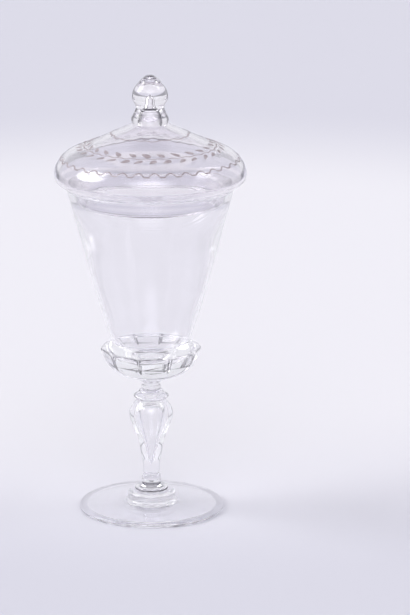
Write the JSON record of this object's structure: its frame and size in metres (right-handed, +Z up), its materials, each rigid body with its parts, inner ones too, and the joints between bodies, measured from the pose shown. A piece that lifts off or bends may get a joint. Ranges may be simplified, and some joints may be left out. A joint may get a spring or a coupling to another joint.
{
  "type": "covered goblet",
  "caption": "Covered goblet of clear glass on an inverted baluster stem, with a cut calyx, an enamelled wreath on the cover and a pointed hollow knob.",
  "frame": {"origin": "centre of the foot's underside, on the plane it stands on", "axes": "+Z up the goblet's axis, -Y towards the side shown in the picture, +X to that side's right"},
  "size_m": [0.105, 0.105, 0.245],
  "materials": {
    "clear_glass": "polished",
    "cover_glass": "polished"
  },
  "bodies": {
    "goblet": {"foot": "clear_glass", "base_disc": "clear_glass", "stem_ring": "clear_glass", "stem": "clear_glass", "merese": "clear_glass", "upper_merese": "clear_glass", "neck_knop": "clear_glass", "calyx": "clear_glass", "bowl": "clear_glass"},
    "lid": {"cover_dome": "cover_glass", "cover_collar": "cover_glass", "finial": "cover_glass"}
  },
  "joints": [
    {"name": "lid_lift", "type": "slide", "parent": "goblet", "child": "lid", "axis": [0, 0, 1], "range_m": [0, 0.1]}
  ]
}
